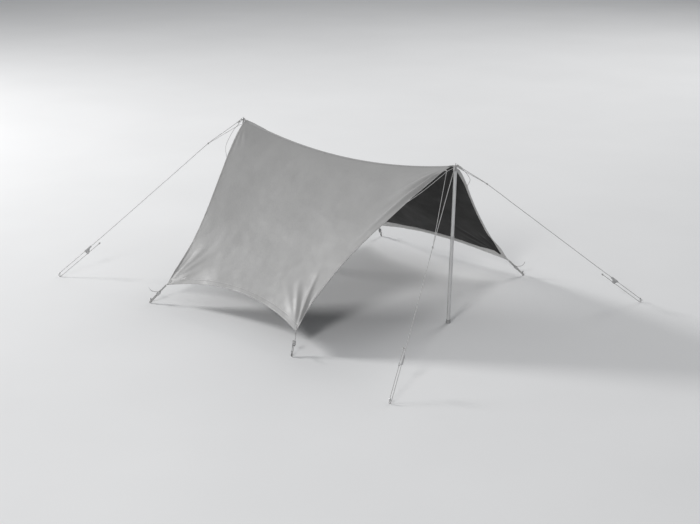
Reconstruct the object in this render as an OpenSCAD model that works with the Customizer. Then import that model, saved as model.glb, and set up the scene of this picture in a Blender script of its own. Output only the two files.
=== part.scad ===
// A tarp shelter pitched on two poles. The canopy is two panels sewn along a ridge and cut in
// curves on every side. A telescoping pole stands under each end of the ridge, four guy lines run
// from the ridge ends to pegs, and four adjustable straps hold the corners down to pegs.
// The origin is the middle of the front pole's foot, on the ground. +X points out of the front
// opening, +Y to the left and +Z up. A quarter is named by its signs: sx is 1 at the front and -1
// at the rear, sy is 1 on the left and -1 on the right.

/* [Pitch] */
// Height of the eyelets that the poles stand in
tip_height = 1249; // [1200:1:1300]
// Distance between the two eyelets
tip_spacing = 2410; // [2380:10:2440]
// How far each pole's foot stands in from below its eyelet
foot_inset = 40; // [20:5:60]
// Distance of a canopy corner from the middle, along the ridge
corner_x = 765; // [740:5:790]
// Distance of a canopy corner from the ridge, across
corner_y = 1230; // [1200:5:1250]
// Height of a canopy corner above the ground
corner_height = 145; // [140:5:160]

/* [Canopy] */
// Drop of the ridge's middle below its ends
ridge_sag = 120; // [80:5:150]
// Rise of the bottom hem's curve, measured up the slope
hem_cut = 145; // [100:5:170]
// Depth of the side hem's curve
side_cut = 96; // [70:2:110]
// How far the side hem bulges out of the plane of the slope
side_bulge = 52; // [40:1:70]
// How far the middle of a panel bulges out
middle_bulge = 27; // [10:1:40]
// Upright thickness of the canopy solid
panel_t = 4; // [3:0.5:5]
// Distance from an eyelet to the cloth at the end of the ridge
end_gap = 35; // [30:1:40]

/* [Poles] */
// Outside diameter of the lower tube
lower_d = 28; // [27.6:0.1:28.4]
// Outside diameter of the upper tube
upper_d = 25; // [24.8:0.1:25]
// Wall of both tubes
tube_wall = 1.2; // [1:0.1:1.2]
// Height of the lower tube's top end, along the pole
lower_top = 700; // [650:10:750]
// Height of the upper tube's bottom end, along the pole
upper_bottom = 535; // [520:5:550]
// Diameter of the rubber foot
foot_d = 38; // [36:1:42]

/* [Guy lines] */
// Distance of a guy peg from the middle, along the ridge
guy_peg_x = 1935; // [1900:5:1960]
// Distance of a guy peg from the ridge, across
guy_peg_y = 1465; // [1440:5:1490]
// Diameter of the guy line
cord_d = 5; // [4:0.5:5]
// Diameter of the bridles and edge cords
thin_cord_d = 4; // [3:0.5:4]
// Distance between the two strands of the loop round a guy peg
loop_gap = 32; // [30:1:34]
// Length of the slider
slider_length = 70; // [60:5:80]
// Distance from the guy peg to the slider
slider_from_peg = 290; // [270:10:310]

/* [Corner straps] */
// Distance of a corner peg from the middle, along the ridge
strap_peg_x = 835; // [825:5:845]
// Distance of a corner peg from the ridge, across
strap_peg_y = 1340; // [1330:5:1350]
// Width of the strap
strap_w = 15; // [12:0.5:15]
// Thickness of the strap
strap_t = 1.5; // [1:0.1:1.5]

/* [Pegs] */
// Diameter of a peg's shaft
peg_d = 8; // [7.5:0.1:8]
// Depth of a peg's point in the ground
peg_depth = 170; // [150:5:200]

/* [Hidden] */
$fn = 32;

// Places, measured from the middle of the shelter on the ground
tip_x = tip_spacing / 2;
foot_x = tip_x - foot_inset;
corner = [corner_x, corner_y, corner_height];
slope = atan2(tip_height - corner_height, corner_y);

// Canopy mesh: rows down the slope, the first one under the edge of the ridge tape
cells_along = 26;
cells_down = 12;
tape_row = 0.012;
rows = concat([0, tape_row], [for (j = [1:cells_down]) j / cells_down]);
cloth_drop = 3;
tape_t = 1.2;
tape_lift = 0.2;

// Ridge end fittings
tab_w = 26;
tab_t = 2;
tab_end = 15;
eyelet_bore_r = 5.5;
eyelet_barrel_r = 6.4;
eyelet_flange_r = 10;
flange_t = 0.8;
ring_wire_r = 2;
ring_r = 10;
ring_lift = 4;
knot_lift = 7.5;

// Poles, with heights along the pole from the foot
pole_length = norm([foot_inset, tip_height]);
pole_lean = atan2(foot_inset, tip_height);
pole_fit = 0.05;
socket_floor = 6;
foot_top = 30;
lower_r = lower_d / 2;
upper_r = upper_d / 2;
socket_fit = 0.2;
tube_fit = 0.1;
screw_r = 4;
slide_fit = 0.3;
plug_top = pole_length - 34;
spigot_r = 4;
spigot_top = 9;
point_r = 3;
point_length = 14;

// Guy lines: each has a frame of its own with the peg at its origin, Z up the line and the
// strand from the tip on the +X side
cord_r = cord_d / 2;
thin_cord_r = thin_cord_d / 2;
loop_r = loop_gap / 2;
loop_z = 14;
loop_start = 5;
loop_roll = 45;
knot_r = 5.5;
stopper_z = 430;
guy_top = [tip_x + 6, 13, tip_height + knot_lift];
guy_foot = [guy_peg_x, guy_peg_y, loop_z];
guy_length = norm(guy_top - guy_foot);
guy_bore_r = cord_r + 0.3;

// Where each bridle joins its guy line: distance from the peg, and offset in the line's frame
front_right_join = [0, 0, 1285];
front_left_join = [26, 0, 1760];
rear_right_join = [32, 0, 1690];
rear_left_join = [32, 0, 1690];

// Where a bridle is tied to the side hem
bridle_s = 0.035;

// Edge cord in the front left quarter, from the ridge tab to the side hem
edge_route = [
    [1212, 16, 1243], [1190, 70, 1224], [1174, 140, 1183], [1146, 216, 1130],
    [1104, 290, 1071], [1034, 341, 1006]
];

// Corner straps: each has a frame with the peg at its origin and Z up to the canopy's corner
strap_foot = [strap_peg_x, strap_peg_y, 15];
strap_length = norm(corner - strap_foot);
strap_gap = 10;
strap_loop_z = -9;
strap_slider_z = [72, 106];
strap_slider = [21, strap_w + 7];
slot_fit = 0.6;
// Loose end of a strap, from the slider: across, outward and up
tail_route = [
    [-4, 0, 12], [-8, 14, 13], [-12, 30, 14], [-15, 45, 18], [-17, 57, 26], [-18, 66, 38],
    [-18, 72, 52]
];

// Pegs
peg_r = peg_d / 2;
neck_r = 3.5;
point_h = 20;
shaft_top = -4;
guy_head = [22, 37];
strap_head = [33, 44];
head_r = 6.5;

// Directions and sweeps

function unit(v) = v / norm(v);

function tangent(p, i) = unit(p[min(i + 1, len(p) - 1)] - p[max(i - 1, 0)]);

// Corners of one section, set square to the route
function section_at(p, i, section, flat) =
    let (t = tangent(p, i), a = unit(cross(flat, t)), b = cross(t, a))
    [for (s = section) p[i] + a * s.x + b * s.y];

function round_section(r) = [for (k = [0:7]) r * [cos(45 * k + 22.5), sin(45 * k + 22.5)]];

function tape_section(w, t) = [[-t, -w] / 2, [t, -w] / 2, [t, w] / 2, [-t, w] / 2];

// A solid with one section all along a route. flat is a direction that the section's second
// side keeps to.
module sweep(route, section, flat) {
    n = len(section);
    last = len(route) - 1;
    polyhedron(
        points = [for (i = [0:last]) each section_at(route, i, section, flat)],
        faces = concat(
            [[for (k = [0:n - 1]) k]],
            [for (i = [0:last - 1]) for (k = [0:n - 1])
                [i * n + k, (i + 1) * n + k, (i + 1) * n + (k + 1) % n]],
            [for (i = [0:last - 1]) for (k = [0:n - 1])
                [i * n + k, (i + 1) * n + (k + 1) % n, i * n + (k + 1) % n]],
            [[for (k = [n - 1:-1:0]) last * n + k]]
        )
    );
}

// Half a turn in the XZ plane, open upwards, from +X to -X
function half_turn(r, z) = [for (a = [0:22.5:180]) [r * cos(a), 0, z - r * sin(a)]];

// Frames

// Turns a front left quarter into the quarter with the given signs
module quarter(sx, sy) {
    scale([sx, sy, 1])
        children();
}

// Moves from the middle of the shelter to the front pole's foot
module pitched() {
    translate([-foot_x, 0, 0])
        children();
}

function frame_z(foot, top) = unit(top - foot);

function frame_across(foot, top) = unit(cross(frame_z(foot, top), [0, 0, 1]));

// Puts the children's origin at foot, with +Z towards top and +X turned up by roll from level
module line_frame(foot, top, roll) {
    z = frame_z(foot, top);
    level = -frame_across(foot, top);
    up = cross(z, level);
    x = cos(roll) * level + sin(roll) * up;
    y = cross(z, x);
    multmatrix([
        [x.x, y.x, z.x, foot.x],
        [x.y, y.y, z.y, foot.y],
        [x.z, y.z, z.z, foot.z],
        [0, 0, 0, 1]
    ])
        children();
}

// Stands the children on the pole's foot, with +Z up the pole
module on_pole(sx) {
    pitched()
        quarter(sx, 1)
            translate([foot_x, 0, 0])
                rotate([0, pole_lean, 0])
                    children();
}

module on_guy(sx, sy) {
    pitched()
        quarter(sx, sy)
            line_frame(guy_foot, guy_top, loop_roll)
                children();
}

module on_strap(sx, sy) {
    pitched()
        quarter(sx, sy)
            line_frame(strap_foot, corner, 0)
                children();
}

// Canopy: u runs from -1 at the rear to 1 at the front, s from 0 at the ridge to 1 at the hem

function ridge_z(u) = tip_height - cloth_drop - ridge_sag * (1 - u * u);

function half_span(s) =
    (tip_x - end_gap) * (1 - s) + corner_x * s - side_cut * sin(180 * pow(s, 1.475));

function bulge(u, s) =
    (middle_bulge + (side_bulge - middle_bulge) * u * u) * sin(180 * pow(s, 0.61));

// A point of the left panel's top side
function cloth(u, s) =
    let (cut = hem_cut * (1 - u * u), b = bulge(u, s))
    [
        u * half_span(s),
        s * (corner_y - cut * cos(slope)) + b * sin(slope),
        (1 - s) * ridge_z(u) + s * (corner_height + cut * sin(slope)) + b * cos(slope)
    ];

// A sheet over some rows of the canopy's mesh, from lift above the cloth down to drop below it
module cloth_solid(rows, lift, drop) {
    n = len(rows);
    m = cells_along;
    top = [for (i = [0:m]) for (s = rows) cloth(2 * i / m - 1, s) + [0, 0, lift]];
    under = [for (p = top) p - [0, 0, lift + drop]];
    low = len(top);
    edge = concat(
        [for (j = [0:n - 1]) j],
        [for (i = [1:m]) i * n + n - 1],
        [for (j = [n - 2:-1:0]) m * n + j],
        [for (i = [m - 1:-1:1]) i * n]
    );
    polyhedron(
        points = concat(top, under),
        faces = concat(
            [for (i = [0:m - 1]) for (j = [0:n - 2]) for (f = [[0, n, n + 1], [0, n + 1, 1]])
                [for (k = f) i * n + j + k]],
            [for (i = [0:m - 1]) for (j = [0:n - 2]) for (f = [[0, n + 1, n], [0, 1, n + 1]])
                [for (k = f) low + i * n + j + k]],
            [for (k = [0:len(edge) - 1]) let (a = edge[k], b = edge[(k + 1) % len(edge)])
                [a, b, low + b, low + a]]
        )
    );
}

module canopy_panel(sy) {
    color("gainsboro")
        pitched()
            quarter(1, sy)
                cloth_solid(rows, 0, panel_t);
}

// Webbing over the ridge seam
module ridge_tape() {
    color("silver")
        pitched()
            for (sy = [-1, 1])
                quarter(1, sy)
                    cloth_solid([0, tape_row], tape_lift + tape_t, -tape_lift);
}

// Webbing tab at one end of the ridge, with the eyelet in it
module ridge_tab(sx) {
    color("silver")
        pitched()
            quarter(sx, 1)
                translate([tip_x, 0, tip_height])
                    difference() {
                        translate([-end_gap + 0.5, -tab_w / 2, -tab_t / 2])
                            cube([end_gap + tab_end, tab_w, tab_t]);
                        cylinder(h = 4 * tab_t, r = eyelet_barrel_r + 0.05, center = true);
                    }
}

// Metal eyelet clenched on both sides of the tab
module eyelet(sx) {
    color("lightgrey")
        pitched()
            quarter(sx, 1)
                translate([tip_x, 0, tip_height])
                    difference() {
                        union() {
                            cylinder(h = tab_t, r = eyelet_barrel_r, center = true);
                            for (z = [tab_t / 2, -tab_t / 2 - flange_t])
                                translate([0, 0, z])
                                    cylinder(h = flange_t, r = eyelet_flange_r);
                        }
                        cylinder(h = 4 * tab_t, r = eyelet_bore_r, center = true);
                    }
}

// Steel ring over the pole's spigot, to which two guy lines are tied
module tip_ring(sx) {
    color("lightgrey")
        pitched()
            translate([sx * tip_x, 0, tip_height + ring_lift])
                rotate_extrude()
                    translate([ring_r, 0])
                        circle(r = ring_wire_r);
}

// Rubber foot, cut level with the ground
module pole_foot(sx) {
    sole_r = foot_d / 2;
    spare = 3;
    cuff_r = lower_r + 2.5;
    color("darkgray")
        difference() {
            on_pole(sx)
                rotate_extrude()
                    difference() {
                        polygon([
                            [0, -spare], [sole_r, -spare], [sole_r, 8], [sole_r - 2, 12],
                            [cuff_r, foot_top], [0, foot_top]
                        ]);
                        translate([0, socket_floor])
                            square([lower_r + pole_fit, foot_top]);
                    }
            pitched()
                translate([sx * foot_x - foot_d, -foot_d, -2 * spare])
                    cube([2 * foot_d, 2 * foot_d, 2 * spare]);
        }
}

// Lower tube, open at both ends
module lower_tube(sx) {
    color("silver")
        on_pole(sx)
            translate([0, 0, socket_floor + tube_fit])
                difference() {
                    cylinder(h = lower_top - socket_floor, r = lower_r);
                    translate([0, 0, -1])
                        cylinder(h = lower_top, r = lower_r - tube_wall);
                }
}

// Plastic collar round the lower tube's top, which guides the upper tube
module collar(sx) {
    collar_r = lower_r + 2.2;
    grip = 20.2;
    collar_h = 24;
    color("darkgray")
        on_pole(sx)
            translate([0, 0, lower_top + socket_fit - grip])
                difference() {
                    rotate_extrude()
                        polygon([
                            [upper_r, 0], [collar_r - 0.6, 0], [collar_r, 4],
                            [collar_r, collar_h - 3], [collar_r - 1, collar_h],
                            [upper_r, collar_h]
                        ]);
                    translate([0, 0, -1])
                        cylinder(h = grip + 1, r = lower_r + pole_fit);
                    cylinder(h = 3 * collar_h, r = upper_r + slide_fit, center = true);
                }
}

// Split nylon sleeve that the screw spreads against the lower tube's bore
module lock_expander(sx) {
    sleeve_h = 32;
    slit = 1.2;
    color("white")
        on_pole(sx)
            translate([0, 0, upper_bottom - 38])
                difference() {
                    cylinder(h = sleeve_h, r = lower_r - tube_wall - tube_fit);
                    translate([0, 0, -1])
                        cylinder(h = sleeve_h + 2, r = screw_r + slide_fit);
                    translate([0, -slit / 2, -1])
                        cube([lower_r, slit, sleeve_h - 5]);
                }
}

// Plug in the upper tube's bottom end with the screw that carries the expander
module lock_screw(sx) {
    plug_h = 30;
    rim_h = 5;
    screw_length = 46;
    head_h = 6;
    color("darkgray")
        on_pole(sx)
            translate([0, 0, upper_bottom]) {
                cylinder(h = plug_h, r = upper_r - tube_wall - pole_fit);
                translate([0, 0, -rim_h])
                    cylinder(h = rim_h, r = upper_r - tube_fit);
                translate([0, 0, -screw_length])
                    cylinder(h = screw_length, r = screw_r);
                translate([0, 0, -screw_length])
                    cylinder(h = head_h, r = screw_r + 3);
            }
}

module upper_tube(sx) {
    color("silver")
        on_pole(sx)
            translate([0, 0, upper_bottom])
                difference() {
                    cylinder(h = plug_top - upper_bottom, r = upper_r);
                    translate([0, 0, -1])
                        cylinder(h = plug_top, r = upper_r - tube_wall);
                }
}

// Plastic cap with a spigot that goes through the eyelet and the ring, and a thinner point
module pole_tip(sx) {
    plug_r = upper_r - tube_wall - pole_fit;
    plug_h = 25;
    shoulder = pole_length - 6;
    point_start = pole_length + spigot_top + 1;
    point_end = point_start + point_length;
    color("darkgray")
        on_pole(sx)
            rotate_extrude()
                polygon([
                    [0, plug_top - plug_h], [plug_r, plug_top - plug_h], [plug_r, plug_top],
                    [upper_r, plug_top], [upper_r, plug_top + 4], [spigot_r + 2.5, shoulder],
                    [spigot_r, shoulder], [spigot_r, point_start - 1], [point_r, point_start],
                    [point_r, point_end], [point_r - 1, point_end + 1], [0, point_end + 1]
                ]);
}

// Guy line in its own frame: from the stopper knot down round the peg and up to the ring
function guy_route(join) = concat(
    [for (z = [stopper_z, 360, 290, 220, 150, 80, 30]) [-loop_r, 0, z]],
    [for (i = [8:-1:0]) half_turn(loop_r, loop_start)[i]],
    [for (z = [30, 80, 150, 220, 290, 360, stopper_z, 550]) [loop_r, 0, z]],
    [for (f = [0.25, 0.5, 0.75]) [loop_r, 0, 550] * (1 - f) + join * f],
    [join, [join.x / 2, 0, (join.z + guy_length) / 2], [0, 0, guy_length - 3]]
);

module guy_line(sx, sy, join) {
    color("gainsboro")
        on_guy(sx, sy) {
            sweep(guy_route(join), round_section(cord_r), [0, 1, 0]);
            translate([-loop_r, 0, stopper_z])
                sphere(r = knot_r);
            translate([0, 0, guy_length])
                sphere(r = knot_r);
        }
}

// Second leg at a guy line's top, from the side hem to a knot on the line
module bridle(sx, sy, join) {
    hem = cloth(1, bridle_s) + [2.5, 0, -panel_t / 2];
    color("gainsboro")
        pitched()
            quarter(sx, sy) {
                sweep([hem, hem + [20, 10, 0], to_shelter(join)], round_section(thin_cord_r),
                    [0, 0, 1]);
                translate(to_shelter(join))
                    sphere(r = knot_r);
            }
}

// A point of a guy line's frame, seen from the middle of the shelter
function to_shelter(p) =
    let (
        z = frame_z(guy_foot, guy_top),
        level = -frame_across(guy_foot, guy_top),
        x = cos(loop_roll) * level + sin(loop_roll) * cross(z, level),
        y = cross(z, x)
    )
    guy_foot + x * p.x + y * p.y + z * p.z;

// Cord along the top of a side hem
module edge_cord(sx, sy) {
    color("gainsboro")
        pitched()
            quarter(sx, sy)
                sweep(edge_route, round_section(thin_cord_r), [0, 0, 1]);
}

// Slider of a guy line: a long barrel on the main strand and a short one on the return strand
module guy_slider(sx, sy) {
    arm = 22;
    barrel_r = 8;
    arm_r = 6.5;
    web_t = 5;
    color("darkgray")
        on_guy(sx, sy)
            translate([0, 0, slider_from_peg])
                difference() {
                    union() {
                        translate([loop_r, 0, 0])
                            cylinder(h = slider_length, r = barrel_r);
                        translate([-loop_r, 0, 0])
                            cylinder(h = arm, r = arm_r);
                        rotate([90, 0, 0])
                            linear_extrude(height = web_t, center = true)
                                polygon([
                                    [-loop_r, 0], [loop_r, 0], [loop_r, slider_length - 8],
                                    [-loop_r, arm]
                                ]);
                    }
                    for (x = [-loop_r, loop_r])
                        translate([x, 0, -1])
                            cylinder(h = slider_length + 2, r = guy_bore_r);
                }
}

// Strap in its own frame: from the canopy's corner down one side of the peg and back up
function strap_route() = concat(
    [[0, 0, strap_length - 3], [0, 0, strap_length - 14], [strap_gap / 2, 0, 140]],
    [for (z = [110, 60, 20]) [strap_gap / 2, 0, z]],
    half_turn(strap_gap / 2, strap_loop_z),
    [for (z = [20, 60, strap_slider_z[1] - 6]) [-strap_gap / 2, 0, z]]
);

module corner_strap(sx, sy) {
    color("gainsboro")
        on_strap(sx, sy)
            sweep(strap_route(), tape_section(strap_w, strap_t), [0, 1, 0]);
}

// Slider of a strap: a moulded keeper with two slots and an open middle
module strap_slider(sx, sy) {
    h = strap_slider_z[1] - strap_slider_z[0];
    bar_h = 7;
    window_w = strap_gap - strap_t - 4;
    color("darkgray")
        on_strap(sx, sy)
            translate([0, 0, strap_slider_z[0]])
                difference() {
                    translate([-strap_slider.x / 2, -strap_slider.y / 2, 0])
                        cube([strap_slider.x, strap_slider.y, h]);
                    for (x = [-strap_gap / 2, strap_gap / 2])
                        translate([x, 0, h / 2])
                            cube([strap_t + slot_fit, strap_w + slot_fit, 2 * h], center = true);
                    translate([0, 0, h / 2])
                        cube([window_w, 2 * h, h - 2 * bar_h], center = true);
                }
}

// Loose end of a strap, which curls up from its slider
module strap_tail(sx, sy) {
    z = frame_z(strap_foot, corner);
    across = frame_across(strap_foot, corner);
    outward = unit([-z.x, -z.y, 0]);
    middle = strap_foot + z * (strap_slider_z[0] + strap_slider_z[1]) / 2;
    route = [for (p = tail_route) middle + across * p.x + outward * p.y + [0, 0, p.z]];
    color("gainsboro")
        pitched()
            quarter(sx, sy)
                sweep(route, tape_section(strap_w, strap_t), across);
}

// Round peg with its head above the ground at the given heights
module peg(head) {
    color("lightgrey")
        rotate_extrude()
            polygon([
                [0, -peg_depth], [1, -peg_depth], [peg_r, -peg_depth + point_h],
                [peg_r, shaft_top], [neck_r, shaft_top], [neck_r, head[0]],
                [head_r - 1.5, head[0]], [head_r, head[0] + 1.5], [head_r, head[1] - 2.5],
                [head_r - 2.5, head[1]], [0, head[1]]
            ]);
}

module guy_peg(sx, sy) {
    pitched()
        translate([sx * guy_peg_x, sy * guy_peg_y, 0])
            peg(guy_head);
}

module corner_peg(sx, sy) {
    pitched()
        translate([sx * strap_peg_x, sy * strap_peg_y, 0])
            peg(strap_head);
}

canopy_panel(-1);  // canopy_right
canopy_panel(1);  // canopy_left
ridge_tape();
ridge_tab(1);  // front_ridge_tab
eyelet(1);  // front_eyelet
tip_ring(1);  // front_tip_ring
ridge_tab(-1);  // rear_ridge_tab
eyelet(-1);  // rear_eyelet
tip_ring(-1);  // rear_tip_ring
pole_foot(1);  // front_pole_foot
lower_tube(1);  // front_lower_tube
collar(1);  // front_collar
lock_expander(1);  // front_lock_expander
lock_screw(1);  // front_lock_screw
upper_tube(1);  // front_upper_tube
pole_tip(1);  // front_pole_tip
pole_foot(-1);  // rear_pole_foot
lower_tube(-1);  // rear_lower_tube
collar(-1);  // rear_collar
lock_expander(-1);  // rear_lock_expander
lock_screw(-1);  // rear_lock_screw
upper_tube(-1);  // rear_upper_tube
pole_tip(-1);  // rear_pole_tip
guy_line(1, -1, front_right_join);  // front_right_guy_line
guy_line(1, 1, front_left_join);  // front_left_guy_line
guy_line(-1, -1, rear_right_join);  // rear_right_guy_line
guy_line(-1, 1, rear_left_join);  // rear_left_guy_line
bridle(1, -1, front_right_join);  // front_right_bridle
bridle(1, 1, front_left_join);  // front_left_bridle
bridle(-1, -1, rear_right_join);  // rear_right_bridle
bridle(-1, 1, rear_left_join);  // rear_left_bridle
edge_cord(1, -1);  // front_right_edge_cord
edge_cord(1, 1);  // front_left_edge_cord
edge_cord(-1, -1);  // rear_right_edge_cord
edge_cord(-1, 1);  // rear_left_edge_cord
guy_slider(1, -1);  // front_right_guy_slider
guy_slider(1, 1);  // front_left_guy_slider
guy_slider(-1, -1);  // rear_right_guy_slider
guy_slider(-1, 1);  // rear_left_guy_slider
guy_peg(1, -1);  // front_right_guy_peg
guy_peg(1, 1);  // front_left_guy_peg
guy_peg(-1, -1);  // rear_right_guy_peg
guy_peg(-1, 1);  // rear_left_guy_peg
corner_strap(1, -1);  // front_right_corner_strap
corner_strap(1, 1);  // front_left_corner_strap
corner_strap(-1, -1);  // rear_right_corner_strap
corner_strap(-1, 1);  // rear_left_corner_strap
strap_slider(1, -1);  // front_right_strap_slider
strap_slider(1, 1);  // front_left_strap_slider
strap_slider(-1, -1);  // rear_right_strap_slider
strap_slider(-1, 1);  // rear_left_strap_slider
strap_tail(1, -1);  // front_right_strap_tail
strap_tail(1, 1);  // front_left_strap_tail
strap_tail(-1, -1);  // rear_right_strap_tail
strap_tail(-1, 1);  // rear_left_strap_tail
corner_peg(1, -1);  // front_right_corner_peg
corner_peg(1, 1);  // front_left_corner_peg
corner_peg(-1, -1);  // rear_right_corner_peg
corner_peg(-1, 1);  // rear_left_corner_peg
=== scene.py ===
"""Looks of the tarp shelter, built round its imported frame. Metres, Z up, +X out of the front."""

import math
import random

import bpy
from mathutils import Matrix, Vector, noise


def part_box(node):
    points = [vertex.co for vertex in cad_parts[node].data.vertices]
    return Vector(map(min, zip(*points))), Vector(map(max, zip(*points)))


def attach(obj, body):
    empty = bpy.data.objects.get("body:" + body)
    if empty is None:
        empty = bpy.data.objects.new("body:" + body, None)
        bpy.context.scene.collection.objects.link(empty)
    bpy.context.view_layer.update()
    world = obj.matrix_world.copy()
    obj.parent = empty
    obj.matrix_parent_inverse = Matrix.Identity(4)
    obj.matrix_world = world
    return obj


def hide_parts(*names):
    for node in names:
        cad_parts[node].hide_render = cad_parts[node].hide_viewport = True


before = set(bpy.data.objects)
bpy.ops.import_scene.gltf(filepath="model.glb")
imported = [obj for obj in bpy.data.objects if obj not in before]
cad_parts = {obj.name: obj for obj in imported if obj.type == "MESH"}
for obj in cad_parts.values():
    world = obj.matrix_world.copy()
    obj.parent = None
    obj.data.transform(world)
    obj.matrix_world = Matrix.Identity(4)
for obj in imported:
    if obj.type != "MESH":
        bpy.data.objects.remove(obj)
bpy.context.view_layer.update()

END = {"front": 1, "rear": -1}
QUARTERS = {
    "front_right": (1, -1), "front_left": (1, 1), "rear_right": (-1, -1), "rear_left": (-1, 1),
}


def middle(node):
    low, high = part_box(node)
    return (Vector(low) + Vector(high)) / 2


# Places, from the frame
TIP = middle("front_eyelet")
CENTRE_X = (TIP.x + middle("rear_eyelet").x) / 2
TIP_X = TIP.x - CENTRE_X
CORNER_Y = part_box("canopy_left")[1][1]

# Canopy shape, as in the CAD model
CORNER_X = 0.765
CORNER_Z = 0.145
RIDGE_SAG = 0.120
HEM_CUT = 0.145
SIDE_CUT = 0.096
SIDE_CUT_SKEW = 1.475
SIDE_BULGE = 0.052
MIDDLE_BULGE = 0.027
BULGE_SKEW = 0.61
END_GAP = 0.035
CLOTH_DROP = 0.003
SLOPE = math.atan2(TIP.z - CORNER_Z, CORNER_Y)
SHEET = 0.0012


def place(point, sx=1, sy=1):
    """A point of the front left quarter, from the shelter's middle, put in the quarter that the
    signs name."""
    return Vector((CENTRE_X + sx * point[0], sy * point[1], point[2]))


def turned(direction, signs):
    """A direction of the front left quarter, turned to the quarter that the signs name."""
    return Vector((signs[0] * direction.x, signs[1] * direction.y, direction.z))


# Camera

CAMERA_PLACE = (6.728, -7.801, 3.719)
CAMERA_AZIMUTH = math.radians(-45)
CAMERA_ELEVATION = math.radians(-17.43)
CAMERA_LENS = 72.6
CAMERA_SENSOR = 36
CAMERA_REACH = 200


def aim(target, direction):
    target.rotation_euler = Vector(direction).to_track_quat("-Z", "Y").to_euler()


def make_camera():
    data = bpy.data.cameras.new("camera")
    data.lens = CAMERA_LENS
    data.sensor_width = CAMERA_SENSOR
    data.clip_end = CAMERA_REACH
    camera = bpy.data.objects.new("camera", data)
    camera.location = CAMERA_PLACE
    flat = math.cos(CAMERA_ELEVATION)
    aim(camera, (flat * math.sin(CAMERA_AZIMUTH), flat * math.cos(CAMERA_AZIMUTH),
                 math.sin(CAMERA_ELEVATION)))
    bpy.context.collection.objects.link(camera)
    bpy.context.scene.camera = camera


make_camera()


# Meshes

def new_object(name, vertices, faces, uvs=None, smooth=True):
    """A mesh object. uvs holds one (u, v) for each face corner."""
    mesh = bpy.data.meshes.new(name)
    mesh.from_pydata([tuple(v) for v in vertices], [], faces)
    if uvs:
        layer = mesh.uv_layers.new(name="UVMap")
        for loop, uv in zip(layer.data, uvs):
            loop.uv = uv
    mesh.polygons.foreach_set("use_smooth", [smooth] * len(mesh.polygons))
    mesh.update()
    piece = bpy.data.objects.new(name, mesh)
    bpy.context.collection.objects.link(piece)
    return piece


def resampled(points, step):
    """A smooth curve through the points, as points about one step apart."""
    p = [Vector(q) for q in points]
    ends = [p[0] * 2 - p[1]] + p + [p[-1] * 2 - p[-2]]
    fine = []
    for i in range(1, len(ends) - 2):
        a, b, c, d = ends[i - 1:i + 3]
        count = max(1, round((c - b).length / step))
        for k in range(count):
            t = k / count
            fine.append(0.5 * (2 * b + (c - a) * t + (2 * a - 5 * b + 4 * c - d) * t * t
                               + (3 * b - a - 3 * c + d) * t ** 3))
    fine.append(p[-1])
    return fine


def band_faces(count, n):
    """Faces of a closed band: count + 1 rings of n points, and a cap on each end."""
    faces = []
    for i in range(count):
        for j in range(n):
            m = (j + 1) % n
            faces.append([i * n + j, (i + 1) * n + j, (i + 1) * n + m, i * n + m])
    faces.append(list(range(n)))
    faces.append([count * n + j for j in range(n - 1, -1, -1)])
    return faces


def path_length(points):
    return sum((b - a).length for a, b in zip(points, points[1:]))


def swept(name, points, section, flat=None):
    """A tube along the points. section(k, length) gives the outline's (x, y) points at ring k;
    y keeps to the direction flat, or turns as little as it can."""
    vertices, rows, lengths = [], [], []
    side = None
    run = 0
    for i, p in enumerate(points):
        along = (points[min(i + 1, len(points) - 1)] - points[max(i - 1, 0)]).normalized()
        if flat:
            side = Vector(flat)
        elif side is None:
            side = along.orthogonal()
        side = (side - along * side.dot(along)).normalized()
        across = side.cross(along)
        if i:
            run += (p - points[i - 1]).length
        lengths.append(run)
        rows.append(section(i, run))
        vertices += [p + across * x + side * y for x, y in rows[-1]]
    n = len(rows[0])
    faces, uvs = [], []
    for i in range(len(points) - 1):
        for k in range(n):
            j = (k + 1) % n
            faces.append((i * n + k, i * n + j, (i + 1) * n + j, (i + 1) * n + k))
            uvs += [(k / n, lengths[i]), ((k + 1) / n, lengths[i]),
                    ((k + 1) / n, lengths[i + 1]), (k / n, lengths[i + 1])]
    for ring, order in ((0, range(n - 1, -1, -1)), (len(points) - 1, range(n))):
        faces.append([ring * n + k for k in order])
        uvs += [(k / n, lengths[ring]) for k in order]
    return new_object(name, vertices, faces, uvs)


def braided(radius, sides=12, strands=4, lay=0.009):
    """Outline of a braided cord: two sets of strands that cross as they go round."""
    def section(i, run):
        turn = run / lay * 2 * math.pi
        outline = []
        for k in range(sides):
            a = 2 * math.pi * k / sides
            weave = math.sin(strands * a + turn) * math.sin(strands * a - turn)
            r = radius * (0.96 + 0.05 * weave)
            outline.append((r * math.cos(a), r * math.sin(a)))
        return outline
    return section


def webbing(width, thickness, ribs=7):
    """Outline of flat webbing: rounded edges and shallow ribs across its width."""
    def section(i, run):
        top = []
        for k in range(2 * ribs + 1):
            t = k / (2 * ribs)
            y = width * (t - 0.5)
            edge = math.sqrt(max(0.0, 1 - (2 * t - 1) ** 6))
            top.append((thickness / 2 * edge * (0.92 if k % 2 else 1.0), y))
        return top + [(-x, y) for x, y in reversed(top)][1:-1]
    return section


COIL_STEPS = 14


def coil(name, centre, axis, radius, wire, turns, pitch):
    """A few turns of cord round a line, as in a knot: wire is the cord's radius."""
    z = Vector(axis).normalized()
    x = z.orthogonal().normalized()
    y = z.cross(x)
    points = []
    count = int(turns * COIL_STEPS)
    for i in range(count + 1):
        a = 2 * math.pi * turns * i / count
        rise = pitch * turns * (i / count - 0.5)
        round_it = x * radius * math.cos(a) + y * radius * math.sin(a)
        points.append(Vector(centre) + round_it + z * rise)
    return swept(name, points, braided(wire, sides=10))


# Materials

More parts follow.
